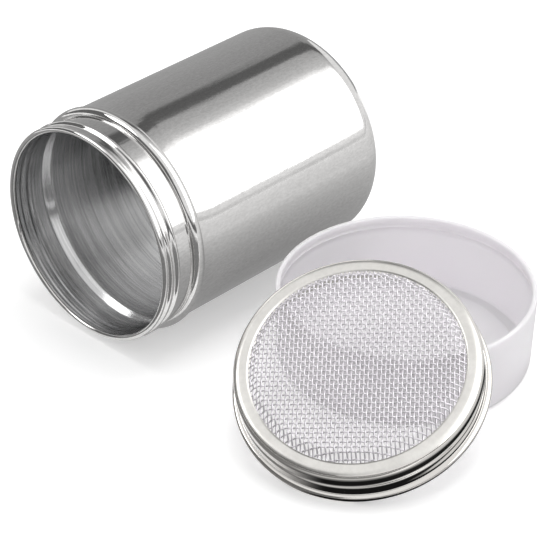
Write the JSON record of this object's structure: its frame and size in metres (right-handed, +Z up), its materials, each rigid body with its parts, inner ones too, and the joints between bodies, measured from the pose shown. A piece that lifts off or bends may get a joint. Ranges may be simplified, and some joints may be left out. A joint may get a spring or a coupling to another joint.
{
  "type": "spice shaker dispenser",
  "caption": "Steel spice shaker set out in pieces: a drawn can with a screw neck lying down, a screw lid with a wire mesh top, and a push-on plastic cap.",
  "frame": {"origin": "middle of the flat base of the plastic cap, on the surface that all the pieces lie on", "axes": "+Z up; the can lies along X with its mouth towards -X and its closed end towards +X; the can is on the cap's +Y side and the lid leans on the cap from its -X side"},
  "size_m": [0.1171, 0.1689, 0.0738],
  "materials": {
    "can_steel": "drawn and polished stainless steel, brushed around inside",
    "lid_steel": "pressed stainless steel, satin on top",
    "screen_wire": "bright drawn stainless wire, plain weave",
    "milky_plastic": "moulded polypropylene, natural milky, half clear"
  },
  "bodies": {
    "can": {"can_body": "can_steel"},
    "cap": {"dust_cap": "milky_plastic"},
    "lid": {"lid_ring": "lid_steel", "mesh_screen": "screen_wire", "screen_retainer": "can_steel"}
  },
  "joints": [
    {"name": "cap_lift", "type": "slide", "parent": "can", "child": "cap", "axis": [0, 0, 1], "range_m": [0, 0.08]},
    {"name": "lid_turn", "type": "hinge", "parent": "cap", "child": "lid", "pos_m": [-0.03919, -0.01745, 0.01644], "axis": [-0.4005, -0.1783, 0.8988], "range_deg": [-580, 0]}
  ]
}
